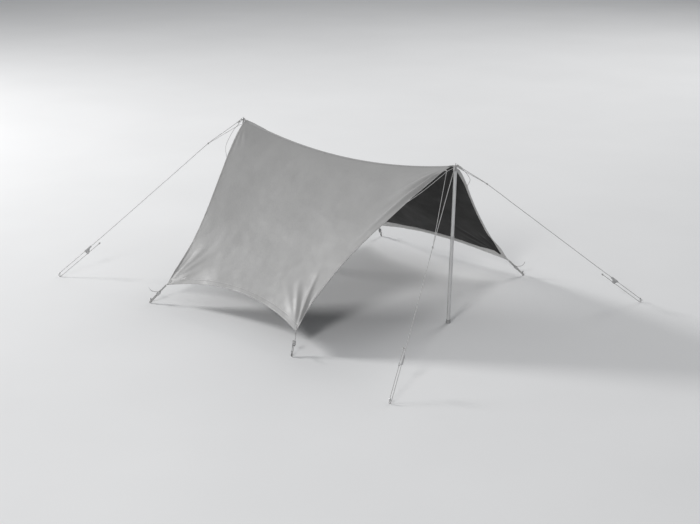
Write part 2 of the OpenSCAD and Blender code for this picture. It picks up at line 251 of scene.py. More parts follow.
class Nodes:
    """A material's node tree, with short calls for the nodes used here."""

    def __init__(self, name, roughness, metallic=0.0, sheen=0.0, coat=0.0, specular=0.5):
        self.material = bpy.data.materials.new(name)
        self.material.use_nodes = True
        self.tree = self.material.node_tree
        self.shader = self.tree.nodes["Principled BSDF"]
        self.shader.inputs["Roughness"].default_value = roughness
        self.shader.inputs["Metallic"].default_value = metallic
        self.shader.inputs["Sheen Weight"].default_value = sheen
        self.shader.inputs["Coat Weight"].default_value = coat
        self.shader.inputs["Specular IOR Level"].default_value = specular
        self.where = self.tree.nodes.new("ShaderNodeTexCoord")
        self.height = None

    def link(self, source, target):
        self.tree.links.new(source, target)

    def node(self, kind, **settings):
        made = self.tree.nodes.new(kind)
        for key, value in settings.items():
            setattr(made, key, value)
        return made

    def noise(self, scale, detail, stretch=(1, 1, 1)):
        mapping = self.node("ShaderNodeMapping")
        mapping.inputs["Scale"].default_value = stretch
        self.link(self.where.outputs["Object"], mapping.inputs["Vector"])
        made = self.node("ShaderNodeTexNoise")
        made.inputs["Scale"].default_value = scale
        made.inputs["Detail"].default_value = detail
        self.link(mapping.outputs["Vector"], made.inputs["Vector"])
        return made.outputs["Fac"]

    def wave(self, scale, direction, stretch=(1, 1, 1)):
        mapping = self.node("ShaderNodeMapping")
        mapping.inputs["Scale"].default_value = stretch
        self.link(self.where.outputs["UV"], mapping.inputs["Vector"])
        made = self.node("ShaderNodeTexWave", bands_direction=direction)
        made.inputs["Scale"].default_value = scale
        self.link(mapping.outputs["Vector"], made.inputs["Vector"])
        return made.outputs["Fac"]

    def maths(self, operation, a, b):
        made = self.node("ShaderNodeMath", operation=operation)
        for socket, value in zip(made.inputs, (a, b)):
            if isinstance(value, (int, float)):
                socket.default_value = value
            else:
                self.link(value, socket)
        return made.outputs[0]

    def range(self, value, low, high, to_low=0.0, to_high=1.0):
        made = self.node("ShaderNodeMapRange")
        for key, number in (("From Min", low), ("From Max", high), ("To Min", to_low),
                            ("To Max", to_high)):
            made.inputs[key].default_value = number
        self.link(value, made.inputs["Value"])
        return made.outputs["Result"]

    def colour(self, value, dark, light, low=0.3, high=0.7):
        """Base colour from dark to light as value goes from low to high."""
        ramp = self.node("ShaderNodeValToRGB")
        for element, at, tone in zip(ramp.color_ramp.elements, (low, high), (dark, light)):
            element.position = at
            element.color = (*tone, 1)
        self.link(value, ramp.inputs["Fac"])
        self.link(ramp.outputs["Color"], self.shader.inputs["Base Color"])

    def rough(self, value, low, high):
        self.link(self.range(value, 0.3, 0.7, low, high), self.shader.inputs["Roughness"])

    def bump(self, value, distance, strength=1.0):
        made = self.node("ShaderNodeBump")
        made.inputs["Distance"].default_value = distance
        made.inputs["Strength"].default_value = strength
        self.link(value, made.inputs["Height"])
        if self.height is not None:
            self.link(self.height, made.inputs["Normal"])
        self.height = made.outputs["Normal"]
        self.link(self.height, self.shader.inputs["Normal"])


def grey(value, warm=0.0):
    return (value * (1 + warm), value, value * (1 - 1.5 * warm))


def cloth(name, dark, light, roughness, sheen=0.15, specular=0.5):
    """Coated ripstop: a square grid of thicker threads, a fine weave, and soft creases."""
    n = Nodes(name, roughness, sheen=sheen, specular=specular)
    n.colour(n.noise(2.2, detail=6), dark, light, 0.25, 0.75)
    n.rough(n.noise(5, detail=5), roughness - 0.08, roughness + 0.1)
    lines = n.maths("MAXIMUM", n.wave(31, "X"), n.wave(31, "Y"))
    n.bump(n.range(lines, 0.93, 1.0), 0.0002, 0.5)
    weave = n.maths("MULTIPLY", n.wave(310, "X"), n.wave(310, "Y"))
    n.bump(weave, 0.00005, 0.4)
    n.bump(n.noise(34, detail=8), 0.0008, 0.35)
    n.bump(n.noise(9, detail=6), 0.004, 0.25)
    return n.material


def woven(name, dark, light, scale=160):
    """Webbing: ribs of twill across its width."""
    n = Nodes(name, 0.75, sheen=0.2)
    n.colour(n.noise(60, detail=5), dark, light)
    twill = n.maths("MULTIPLY", n.wave(scale, "Y"), n.wave(14, "X"))
    n.bump(twill, 0.0002, 0.6)
    n.bump(n.noise(400, detail=3), 0.0001, 0.5)
    return n.material


def cord_material(name, dark, light):
    """Braided cord: two sets of strands that cross, and fine fibres."""
    n = Nodes(name, 0.62, sheen=0.25)
    n.colour(n.noise(90, detail=4), dark, light)
    crossing = n.maths("MULTIPLY", n.wave(1.3, "X", stretch=(4, 60, 1)), n.wave(110, "Y"))
    n.bump(crossing, 0.0003, 0.6)
    n.bump(n.noise(700, detail=3), 0.0001, 0.5)
    return n.material


def coated_metal(name, dark, light, roughness=0.42):
    """Satin coated tube: fine orange peel, drawn lines along it, and a few rubbed patches."""
    n = Nodes(name, roughness, metallic=0.35, coat=0.1)
    n.colour(n.noise(14, detail=8, stretch=(3, 3, 1)), dark, light)
    n.rough(n.noise(26, detail=8), roughness - 0.1, roughness + 0.14)
    n.bump(n.noise(260, detail=2), 0.00006, 0.5)
    n.bump(n.noise(500, detail=2, stretch=(1, 1, 0.02)), 0.00005, 0.4)
    return n.material


def bare_metal(name, dark, light, roughness=0.34):
    """Drawn alloy or steel, with scratches and dull patches."""
    n = Nodes(name, roughness, metallic=0.9)
    n.colour(n.noise(40, detail=8), dark, light)
    n.rough(n.noise(70, detail=8), roughness - 0.08, roughness + 0.2)
    n.bump(n.noise(900, detail=2, stretch=(1, 1, 0.05)), 0.00005, 0.6)
    n.bump(n.noise(160, detail=6), 0.0001, 0.3)
    return n.material


def moulded(name, dark, light, roughness=0.5):
    """Moulded plastic or rubber with a spark-eroded grain."""
    n = Nodes(name, roughness)
    n.colour(n.noise(30, detail=6), dark, light)
    n.rough(n.noise(50, detail=6), roughness - 0.08, roughness + 0.12)
    n.bump(n.noise(1100, detail=2), 0.00012, 0.5)
    n.bump(n.noise(60, detail=3), 0.0002, 0.2)
    return n.material


def floor_material():
    n = Nodes("floor", 0.9)
    n.colour(n.noise(0.6, detail=3), grey(0.80), grey(0.83))
    return n.material


OUTER = cloth("cloth_outer", grey(0.300, 0.01), grey(0.328, 0.01), 0.50)
INNER = cloth("cloth_inner", grey(0.030, 0.01), grey(0.040, 0.01), 0.66,
              sheen=0.0, specular=0.2)
# The hem's inside is the outer cloth folded in, but it is coloured much lighter than the outer
# cloth. This is painted light, so the band on the shaded inner side looks as brightly lit as the
# outside.
HEM_PAINTED_LIGHT = cloth("cloth_hem_inside_painted_light", grey(0.50, 0.01), grey(0.56, 0.01), 0.58)
TAPE = woven("tape", grey(0.29, 0.01), grey(0.33, 0.01))
WEBBING = woven("webbing", grey(0.34, 0.01), grey(0.44, 0.01))
THREAD = woven("thread", grey(0.31, 0.01), grey(0.35, 0.01), scale=900)
CORD = cord_material("cord", grey(0.40, 0.01), grey(0.52, 0.01))
POLE = coated_metal("pole", grey(0.56), grey(0.62))
STEEL = bare_metal("steel", grey(0.55), grey(0.68))
PEG = bare_metal("peg", grey(0.52), grey(0.64), roughness=0.4)
PLASTIC = moulded("plastic", grey(0.40), grey(0.46))
SLIDER = moulded("slider", grey(0.40), grey(0.48))
NYLON = moulded("nylon", grey(0.62, 0.02), grey(0.68, 0.02))
RUBBER = moulded("rubber", grey(0.28), grey(0.34), roughness=0.8)

CAD_MATERIALS = {
    "pole_foot": RUBBER, "lower_tube": POLE, "upper_tube": POLE, "collar": PLASTIC,
    "lock_expander": NYLON, "lock_screw": PLASTIC, "pole_tip": PLASTIC,
    "ridge_tab": WEBBING, "eyelet": STEEL, "tip_ring": STEEL, "guy_slider": SLIDER,
    "strap_slider": SLIDER, "peg": PEG,
}


def dress(piece, *materials):
    piece.data.materials.clear()
    for material in materials:
        piece.data.materials.append(material)


for node, cad_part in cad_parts.items():
    for ending, material in CAD_MATERIALS.items():
        if node.endswith(ending):
            dress(cad_part, material)


def finish_piece(piece, materials, nodes=(), body="canopy"):
    dress(piece, *materials)
    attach(piece, body)
    if nodes:
        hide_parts(*nodes)


# Cords. Their routes are those of the CAD model. A guy line's points are in its own frame, with X
# across the line and Z up it; the other cords' points are from the shelter's middle.

CORD_STEP = 0.003
GUY_FOOT = Vector((1.935, 1.465, 0.014))
GUY_TOP = Vector((TIP_X + 0.006, 0.013, TIP.z + 0.0075))
GUY_LENGTH = (GUY_TOP - GUY_FOOT).length
GUY_CORD_R = 0.0025
THIN_CORD_R = 0.002
LOOP_R = 0.016
LOOP_START = 0.005
LOOP_ROLL = math.radians(45)
LOOP_TOP = 0.550
STOPPER_Z = 0.430
LEG_HEIGHTS = (0.030, 0.080, 0.150, 0.220, 0.290, 0.360)
HALF_TURN = [math.radians(22.5 * k) for k in range(9)]

# Where each bridle joins its guy line, in the guy line's frame
JOINS = {
    "front_right": (0, 0, 1.285), "front_left": (0.026, 0, 1.760),
    "rear_right": (0.032, 0, 1.690), "rear_left": (0.032, 0, 1.690),
}

# Knots: the turns' radius, the cord's radius, the number of turns and their pitch
STOPPER_KNOT = (0.0048, 0.0024, 3, 0.0048)
TIP_KNOT = (0.0050, 0.0025, 3, 0.0050)
TIP_KNOT_DOWN = 0.002
TIP_WRAP = (0.0050, 0.0024, 6, 0.0046)
TIP_WRAP_DOWN = 0.030
BRIDLE_KNOT = (0.0046, 0.0019, 4, 0.0040)
BRIDLE_EYE = (0.0040, 0.0018, 1.5, 0.0038)

# An edge cord, from the tip to the side hem
EDGE_ROUTE = [
    (1.212, 0.016, 1.243), (1.190, 0.070, 1.224), (1.174, 0.140, 1.183), (1.146, 0.216, 1.130),
    (1.104, 0.290, 1.071), (1.034, 0.341, 1.006),
]


def line_axes(foot, top, roll):
    """The X, Y and Z directions of a line's own frame: Z towards top, X turned up from level."""
    z = (top - foot).normalized()
    level = -z.cross(Vector((0, 0, 1))).normalized()
    up = z.cross(level)
    x = math.cos(roll) * level + math.sin(roll) * up
    return x, z.cross(x), z


def on_guy(point):
    """A point of a guy line's own frame, from the shelter's middle."""
    x, y, z = line_axes(GUY_FOOT, GUY_TOP, LOOP_ROLL)
    return GUY_FOOT + x * point[0] + y * point[1] + z * point[2]


def guy_route(join):
    """From the ring down to the peg, round it and back up to the stopper knot."""
    down = [(0, 0, GUY_LENGTH - 0.003), (join[0] / 2, 0, (join[2] + GUY_LENGTH) / 2), join]
    bend = Vector((LOOP_R, 0, LOOP_TOP))
    down += [bend * (1 - f) + Vector(join) * f for f in (0.75, 0.5, 0.25)]
    down += [(LOOP_R, 0, z) for z in (LOOP_TOP, STOPPER_Z, *reversed(LEG_HEIGHTS))]
    turn = [(LOOP_R * math.cos(a), 0, LOOP_START - LOOP_R * math.sin(a)) for a in HALF_TURN]
    back = [(-LOOP_R, 0, z) for z in (*LEG_HEIGHTS, STOPPER_Z)]
    return down + turn + back


def make_guy_line(quarter, signs):
    route = [place(on_guy(p), *signs) for p in guy_route(JOINS[quarter])]
    points = resampled(route, CORD_STEP)
    line = swept(quarter + "_guy_line", points, braided(GUY_CORD_R))
    along = turned(line_axes(GUY_FOOT, GUY_TOP, LOOP_ROLL)[2], signs)
    knot = coil(quarter + "_stopper_knot", points[-1], along, *STOPPER_KNOT)
    top = coil(quarter + "_tip_knot", points[0] - along * TIP_KNOT_DOWN, along, *TIP_KNOT)
    wrap = coil(quarter + "_tip_wrap", points[0] - along * TIP_WRAP_DOWN, along, *TIP_WRAP)
    finish_piece(line, [CORD], [quarter + "_guy_line"])
    for piece in (knot, top, wrap):
        finish_piece(piece, [CORD])
    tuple(points[0])
    path_length(points)


for quarter, signs in QUARTERS.items():
    make_guy_line(quarter, signs)


# Canopy

def ridge_z(u):
    return TIP.z - CLOTH_DROP - RIDGE_SAG * (1 - u * u)


def half_span(s):
    """How far the cloth reaches each way along the ridge at s."""
    hollow = SIDE_CUT * math.sin(math.pi * s ** SIDE_CUT_SKEW)
    return (TIP_X - END_GAP) * (1 - s) + CORNER_X * s - hollow


def cloth_point(u, s):
    """A point of the left panel, where the CAD model has it: u from -1 at the rear to 1 at the
    front, s from 0 at the ridge to 1 at the hem."""
    cut = HEM_CUT * (1 - u * u)
    bulge = MIDDLE_BULGE + (SIDE_BULGE - MIDDLE_BULGE) * u * u
    bulge *= math.sin(math.pi * s ** BULGE_SKEW)
    return Vector((
        u * half_span(s),
        s * (CORNER_Y - cut * math.cos(SLOPE)) + bulge * math.sin(SLOPE),
        (1 - s) * ridge_z(u) + s * (CORNER_Z + cut * math.sin(SLOPE)) + bulge * math.cos(SLOPE),
    ))


def fade(value, start, end):
    """Goes smoothly from 0 at start to 1 at end."""
    t = min(1.0, max(0.0, (value - start) / (end - start)))
    return t * t * (3 - 2 * t)


# Tension folds fan out from where the cloth is held. Each is (angle from the side hem in
# degrees, reach, half width, height).
CORNER = Vector((CORNER_X, CORNER_Y, CORNER_Z))
EDGE_SCALE = 1.6
RIDGE_END = Vector((TIP_X - END_GAP, 0, ridge_z(1)))
REAR_CORNER_FOLDS = [
    (16, 0.50, 0.010, 0.0120), (25, 0.36, 0.012, -0.0065),
    (35, 0.62, 0.024, 0.0080), (47, 0.72, 0.034, 0.0075), (60, 0.55, 0.030, 0.0055),
    (72, 0.30, 0.012, 0.0040),
]
FRONT_CORNER_FOLDS = [
    (8, 0.42, 0.009, 0.0065), (16, 0.50, 0.011, 0.0110), (24, 0.44, 0.010, -0.0080),
    (31, 0.56, 0.012, 0.0130), (41, 0.50, 0.018, -0.0070), (50, 0.62, 0.022, 0.0120),
    (63, 0.66, 0.030, 0.0080),
]
FRONT_TIP_FOLDS = [
    (4, 0.95, 0.010, 0.0110), (8, 1.10, 0.014, -0.0075), (13, 1.05, 0.017, 0.0165),
    (20, 0.85, 0.018, -0.0080), (28, 0.80, 0.022, 0.0120), (40, 0.55, 0.020, 0.0060),
]
REAR_TIP_FOLDS = [
    (6, 0.50, 0.010, 0.0040), (14, 0.42, 0.013, 0.0040), (24, 0.34, 0.014, 0.0030),
]
FOLDS_START = 0.02
FOLDS_REACH = 1.3
chance = random.Random(7)


def fan(origin, towards, beside, folds):
    """One quarter's folds: their own small changes make every corner a little different."""
    first = (towards - origin).normalized()
    second = beside - first * beside.dot(first)
    made = []
    for angle, reach, width, height in folds:
        made.append((
            math.radians(angle + chance.uniform(-2, 2)), reach * chance.uniform(0.8, 1.2),
            width * chance.uniform(0.85, 1.2), height * chance.uniform(0.75, 1.2),
            chance.uniform(-0.12, 0.12),
        ))
    return origin, first, second.normalized(), made


FANS = {
    signs: [
        fan(CORNER, RIDGE_END, Vector((-1, 0, 0)),
            FRONT_CORNER_FOLDS if signs[0] > 0 else REAR_CORNER_FOLDS),
        fan(RIDGE_END, CORNER, Vector((-1, 0, 0)),
            FRONT_TIP_FOLDS if signs[0] > 0 else REAR_TIP_FOLDS),
    ]
    for signs in QUARTERS.values()
}


def fold_height(point, signs):
    """Height of the folds at a point of the front left quarter's shape."""
    total = 0.0
    for origin, first, second, folds in FANS[signs]:
        v = point - origin
        a = v.dot(first)
        b = v.dot(second)
        distance = math.hypot(a, b)
        if distance < FOLDS_START or distance > FOLDS_REACH:
            continue
        turn = math.atan2(b, a)
        for angle, reach, width, height, curl in folds:
            off = distance * math.sin(turn - angle - curl * distance)
            wide = width * (0.45 + 1.1 * distance / reach)
            if abs(off) < 3 * wide and distance < reach:
                rise = fade(distance, FOLDS_START, 0.16)
                rise *= 1 - fade(distance, 0.35 * reach, reach)
                total += height * rise * math.exp(-(off / wide) ** 2)
    return total


# Slack in the cloth: (how many to a metre, height) of soft dents and small creases
DENTS = ((1.9, 0.0060), (4.7, 0.0030), (13, 0.0010))
PUCKERS = (34, 0.0012)
PUCKER_REACH = 0.045


def dents(point, s, edge):
    """Height of the dents and creases, and of the puckers beside the hems."""
    slack = sum(noise.noise(point * number) * height for number, height in DENTS)
    number, height = PUCKERS
    pucker = noise.noise(point * number) * height * math.exp(-edge / PUCKER_REACH)
    return slack * fade(s, 0.0, 0.12) + pucker * fade(s, 0.0, 0.05)


def skin(u, t):
    """A point on the outer side of the cloth and its normal. t runs from -1 at the right hem, over
    the ridge at 0, to 1 at the left hem."""
    side = 1 if t >= 0 else -1
    s = abs(t)
    near = 0.003
    point = cloth_point(u, s)
    across = cloth_point(u + near, s) - cloth_point(u - near, s)
    down = cloth_point(u, s + near) - cloth_point(u, max(0.0, s - near))
    normal = across.cross(down).normalized()
    signs = (1 if u >= 0 else -1, side)
    corner_like = Vector((abs(point.x), point.y, point.z))
    there = Vector((point.x, side * point.y, point.z))
    edge = min((1 - abs(u)) * half_span(s), (1 - s) * EDGE_SCALE)
    height = fold_height(corner_like, signs) * fade(s, 0.0, 0.10) + dents(there, s, edge)
    point = point + normal * height
    if s < 1e-9:
        normal = Vector((0, 0, 1))
    return (Vector((CENTRE_X + point.x, side * point.y, point.z)),
            Vector((normal.x, side * normal.y, normal.z)))


CANOPY_GRID = (236, 122)
ROW_SPREAD = 1.2
# Rows of the inner side beside each bottom hem that get the lighter hem cloth: painted light.
PAINTED_LIGHT_HEM_ROWS = 5


def make_canopy():
    """One closed sheet: its outer side, its inner side, and a thin edge between them."""
    along, down = CANOPY_GRID
    us = [2 * i / along - 1 for i in range(along + 1)]
    half = [(k / down) ** ROW_SPREAD for k in range(down + 1)]
    ts = [-v for v in reversed(half[1:])] + half
    points = [[skin(u, t) for t in ts] for u in us]
    n = len(ts)
    outer = [p for row in points for p, normal in row]
    inner = [p - normal * SHEET for row in points for p, normal in row]
    rows = [[0.0] * n for u in us]
    for i in range(len(us)):
        for j in range(1, n):
            rows[i][j] = rows[i][j - 1] + (points[i][j][0] - points[i][j - 1][0]).length
    flat = [[(points[i][j][0].x, rows[i][j] - rows[i][n // 2]) for j in range(n)]
            for i in range(len(us))]
    faces, uvs = [], []
    base = len(outer)
    for i in range(along):
        for j in range(n - 1):
            ring = [(i, j), (i + 1, j), (i + 1, j + 1), (i, j + 1)]
            faces.append([a * n + b for a, b in ring])
            uvs += [flat[a][b] for a, b in ring]
    top_count = len(faces)
    for i in range(along):
        for j in range(n - 1):
            ring = [(i, j), (i, j + 1), (i + 1, j + 1), (i + 1, j)]
            faces.append([base + a * n + b for a, b in ring])
            uvs += [flat[a][b] for a, b in ring]
    border = ([(i, 0) for i in range(along)] + [(along, j) for j in range(n - 1)]
              + [(i, n - 1) for i in range(along, 0, -1)] + [(0, j) for j in range(n - 1, 0, -1)])
    for a, b in zip(border, border[1:] + border[:1]):
        p, q = a[0] * n + a[1], b[0] * n + b[1]
        faces.append([q, p, base + p, base + q])
        uvs += [flat[b[0]][b[1]], flat[a[0]][a[1]], flat[a[0]][a[1]], flat[b[0]][b[1]]]
    canopy = new_object("canopy", outer + inner, faces, uvs)
    finish_piece(canopy, [OUTER, INNER, HEM_PAINTED_LIGHT],
                 ["canopy_right", "canopy_left"])
    polygons = canopy.data.polygons
    # The outermost rows of the inner side, beside the bottom hems, get the lighter hem cloth:
    # painted light on the shaded underside.
    for k in range(top_count, 2 * top_count):
        row = (k - top_count) % (n - 1)
        polygons[k].material_index = 2 if min(row, n - 2 - row) < PAINTED_LIGHT_HEM_ROWS else 1
    area = sum(polygons[k].area for k in range(top_count))
    width = max(row[-1] for row in rows)
    length = max(path_length([points[i][j][0] for i in range(len(us))]) for j in (0, n // 2))
    return canopy, (width, length), area


canopy, flat_size, flat_area = make_canopy()


PANEL_DEPTH = 1.62
SIDE_LENGTH = 1.68


def hem_point(edge, k, inward, lift):
    """A point on a hem: k from 0 to 1 along it, inward from the cloth's edge, lift along the
    normal. edge is ("side", end, side) or ("bottom", side)."""
    if edge[0] == "side":
        u = edge[1] * (1 - max(inward, 0) / half_span(k))
        point, normal = skin(u, edge[2] * k)
        out = Vector((edge[1], 0, 0))
    else:
        u = 2 * k - 1
        point, normal = skin(u, edge[1] * (1 - max(inward, 0) / PANEL_DEPTH))
        out = Vector((0, edge[1], -1)).normalized()
    if inward < 0:
        point = point + out * -inward
    return point + normal * lift


SIDE_HEM = 0.013
SIDE_HEM_SPAN = (300, 0.006, 0.999)
SIDE_HEM_PROUD = 0.0003
BOTTOM_HEM = 0.044
BOTTOM_HEM_SPAN = (260, 0.001, 0.999)
INNER_FOLD = {SIDE_HEM: 0.016, BOTTOM_HEM: 0.078}
# Hem faces from this point of the profile on lie on the inner side and get the lighter hem cloth:
# painted light.
PAINTED_LIGHT_SIDE_START = 7
HEM_UV_STEP = 0.005


def hem_profile(width):
    """(distance in from the cloth's edge, height above its outer side) round a folded hem, whose
    inner fold reaches further in than its outer one."""
    inner = INNER_FOLD[width]
    return [
        (width, 0.0001), (width - 0.0012, 0.0003), (0.67 * width, 0.0004), (0.33 * width, 0.0005),
        (0.0015, 0.0005), (-0.0008, 0.0002), (-0.0012, -0.0006), (-0.0008, -0.0018),
        (0.0015, -0.0027), (0.33 * inner, -0.0029), (0.67 * inner, -0.0028),
        (inner - 0.0006, -0.0025), (inner, -0.0013),
    ]


def make_hem(name, edge, width, span, raise_by):
    """The folded hem: one band that wraps the cloth's edge. span is the number of steps along it,
    where it starts and where it ends."""
    count, start, end = span
    profile = hem_profile(width)
    n = len(profile)
    vertices, uvs = [], []
    for i in range(count + 1):
        k = start + (end - start) * i / count
        for inward, lift in profile:
            more = raise_by if lift > -SHEET / 2 else -raise_by
            vertices.append(hem_point(edge, k, inward, lift + more))
    run = 0.0
    for i in range(count):
        step = (vertices[(i + 1) * n] - vertices[i * n]).length
        for j in range(n):
            low = j * HEM_UV_STEP
            high = low + HEM_UV_STEP
            uvs += [(run, low), (run + step, low), (run + step, high), (run, high)]
        run += step
    uvs += [(0.0, j * HEM_UV_STEP) for j in [*range(n), *range(n - 1, -1, -1)]]
    hem = new_object(name, vertices, band_faces(count, n), uvs)
    turn_out(hem)
    finish_piece(hem, [OUTER, HEM_PAINTED_LIGHT])
    # The hem's inner side gets the lighter hem cloth: painted light on the shaded underside.
    for k in range(count * n):
        hem.data.polygons[k].material_index = int(k % n >= PAINTED_LIGHT_SIDE_START)
    return hem


def turn_out(piece):
    """Makes a closed mesh's faces look outwards."""
    corners = [v.co for v in piece.data.vertices]
    volume = 0.0
    for polygon in piece.data.polygons:
        ring = [corners[i] for i in polygon.vertices]
        for b, c in zip(ring[1:], ring[2:]):
            volume += ring[0].dot(b.cross(c))
    if volume < 0:
        piece.data.flip_normals()


STITCH_PITCH = 0.0075
STITCH_GAP = 0.0022
THREAD_R = 0.0004
STITCH_ARCH = ((0.0, -0.3, 0.7), (0.25, 0.9, 1), (0.75, 0.9, 1), (1.0, -0.3, 0.7))


def stitches(name, rows):
    """Thread along rows of (point, normal): each stitch is a short arch above the cloth, given by
    STITCH_ARCH as (how far along, height, thickness)."""
    vertices, faces = [], []
    for row in rows:
        for (a, na), (b, nb) in zip(row[::2], row[1::2]):
            along = (b - a).normalized()
            up = (na + nb).normalized()
            side = along.cross(up)
            for f, lift, thick in STITCH_ARCH:
                centre = a.lerp(b, f) + up * THREAD_R * lift
                for x, y in ((1, 0), (0, 1), (-1, 0), (0, -1)):
                    vertices.append(centre + (side * x + up * y) * THREAD_R * thick)
            base = len(vertices) - 16
            for i in range(3):
                for j in range(4):
                    m = (j + 1) % 4
                    faces.append([base + 4 * i + j, base + 4 * i + m, base + 4 * i + 4 + m,
                                  base + 4 * i + 4 + j])
            faces.append([base + j for j in (3, 2, 1, 0)])
            faces.append([base + 12 + j for j in (0, 1, 2, 3)])
    piece = new_object(name, vertices, faces)
    finish_piece(piece, [THREAD])
    return piece


hems, hem_rows = [], []
for end_name, end in END.items():
    for side_name, side in (("right", -1), ("left", 1)):
        edge = ("side", end, side)
        hems.append(make_hem(f"{end_name}_{side_name}_side_hem", edge, SIDE_HEM, SIDE_HEM_SPAN,
                             SIDE_HEM_PROUD))
        for lift in (0.0008, -0.0033):
            hem_rows.append((edge, SIDE_LENGTH, lift, SIDE_HEM - 0.003))
for side_name, side in (("right", -1), ("left", 1)):
    edge = ("bottom", side)
    hems.append(make_hem(f"{side_name}_bottom_hem", edge, BOTTOM_HEM, BOTTOM_HEM_SPAN, 0.0))
    for lift in (0.0005, -0.0030):
        hem_rows.append((edge, PANEL_DEPTH, lift, BOTTOM_HEM - 0.004))


def hem_stitch_row(edge, length, lift, inward):
    """Ends of the stitches along a hem, as (point, direction the stitch stands out)."""
    start, end = 0.01, 0.99
    count = int(length * (end - start) / STITCH_PITCH)
    row = []
    for i in range(count):
        for shift in (0, (STITCH_PITCH - STITCH_GAP) / length):
            k = start + i * STITCH_PITCH / length + shift
            point = hem_point(edge, k, inward, lift)
            outward = hem_point(edge, k, inward, lift + math.copysign(0.01, lift)) - point
            row.append((point, outward.normalized()))
    return row


hem_thread = stitches("hem_stitching", [hem_stitch_row(*row) for row in hem_rows])


# Ridge tape, sewn over the seam and up to each tab

RIDGE_X = TIP_X - END_GAP
TAPE_HALF_WIDTH = 0.013
TAPE_T = 0.0105
TAPE_LIFTS = (0.0015, 0.0003)
TAPE_UV_ROUND = 0.06
TAPE_STEPS = 260
TAPE_REACH = TIP_X - 0.012


def make_ridge_tape():
    """A band over the ridge that climbs to the level of the tab at each end."""
    rows = []
    for i in range(TAPE_STEPS + 1):
        x = TAPE_REACH * (2 * i / TAPE_STEPS - 1)
        u = max(-1.0, min(1.0, x / RIDGE_X))
        beyond = abs(x) - RIDGE_X
        climb = fade(abs(x), RIDGE_X - 0.030, RIDGE_X + 0.004)
        ring = []
        for lift, steps in zip(TAPE_LIFTS, (range(-4, 5), range(4, -5, -1))):
            for k in steps:
                t = math.copysign((abs(k) / 4) ** 1.2 * TAPE_T, k)
                point, normal = skin(u, t)
                level = TIP.z + 0.0008 + lift
                point = point + normal * lift
                point.z = point.z * (1 - climb) + level * climb
                point.y = point.y * (1 - climb) + TAPE_HALF_WIDTH * k / 4 * 0.9 * climb
                if beyond > 0:
                    point.x += math.copysign(beyond, x)
                ring.append(point)
        rows.append(ring)
    n = len(rows[0])
    uvs = []
    step = 2 * TAPE_REACH / TAPE_STEPS
    for i in range(TAPE_STEPS):
        for j in range(n):
            a, b = j / n * TAPE_UV_ROUND, (j + 1) / n * TAPE_UV_ROUND
            uvs += [(a, i * step), (a, (i + 1) * step), (b, (i + 1) * step), (b, i * step)]
    uvs += [(j / n * TAPE_UV_ROUND, 0.0) for j in [*range(n), *range(n - 1, -1, -1)]]
    tape = new_object("ridge_tape_visual", [p for row in rows for p in row],
                      band_faces(TAPE_STEPS, n), uvs)
    turn_out(tape)
    finish_piece(tape, [TAPE], ["ridge_tape"])


make_ridge_tape()


def ridge_stitch_row(t):
    """Ends of the stitches along one side of the ridge tape."""
    row = []
    length = 2 * (RIDGE_X - 0.035)
    for i in range(int(length / STITCH_PITCH)):
        for shift in (0, STITCH_PITCH - STITCH_GAP):
            x = -length / 2 + i * STITCH_PITCH + shift
            point, normal = skin(x / RIDGE_X, t)
            row.append((point + normal * 0.0016, normal))
    return row


stitches("ridge_stitching", [ridge_stitch_row(t) for t in (-0.0082, 0.0082)])


# Thin cords: bridles and edge cords

BRIDLE_S = 0.035


def make_bridle(quarter, signs):
    """From the side hem, round one soft turn, straight to the knot on the guy line."""
    hem = cloth_point(1, BRIDLE_S) + Vector((0.0025, 0, -0.002))
    join = on_guy(JOINS[quarter])
    turn = hem + Vector((0.020, 0.010, 0))
    away = (join - turn).normalized()
    route = [hem, turn] + [turn + away * d for d in (0.022, 0.066, 0.200)] + [join]
    points = resampled([place(p, *signs) for p in route], CORD_STEP)
    cord = swept(quarter + "_bridle", points, braided(THIN_CORD_R, sides=10))
    along = turned(line_axes(GUY_FOOT, GUY_TOP, LOOP_ROLL)[2], signs)
    knot = coil(quarter + "_bridle_knot", points[-1], along, *BRIDLE_KNOT)
    eye = coil(quarter + "_bridle_eye", points[0], (0, 1, 0), *BRIDLE_EYE)
    finish_piece(cord, [CORD], [quarter + "_bridle"])
    for piece in (knot, eye):
        finish_piece(piece, [CORD])
    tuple(points[0])
    path_length(points)


def make_edge_cord(quarter, signs):
    points = resampled([place(p, *signs) for p in EDGE_ROUTE], CORD_STEP)
    cord = swept(quarter + "_edge_cord", points, braided(THIN_CORD_R, sides=10))
    finish_piece(cord, [CORD], [quarter + "_edge_cord"])
    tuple(points[0])
    path_length(points)


for quarter, signs in QUARTERS.items():
    make_bridle(quarter, signs)
    make_edge_cord(quarter, signs)


# Corner straps and their loose ends

# A strap's points are (across, up the strap); its loose end's points are from the slider's middle:
# across, outwards and up
STRAP_FOOT = Vector((0.835, 1.340, 0.015))
STRAP_LENGTH = (CORNER - STRAP_FOOT).length
STRAP_STEP = 0.0025
STRAP_W = 0.015
STRAP_T = 0.0015
STRAP_GAP = 0.010
STRAP_LOOP_Z = -0.009
SLIDER_Z = (0.072, 0.106)
TAIL_ROUTE = [
    (-0.004, 0, 0.012), (-0.008, 0.014, 0.013), (-0.012, 0.030, 0.014), (-0.015, 0.045, 0.018),
    (-0.017, 0.057, 0.026), (-0.018, 0.066, 0.038), (-0.018, 0.072, 0.052),
]


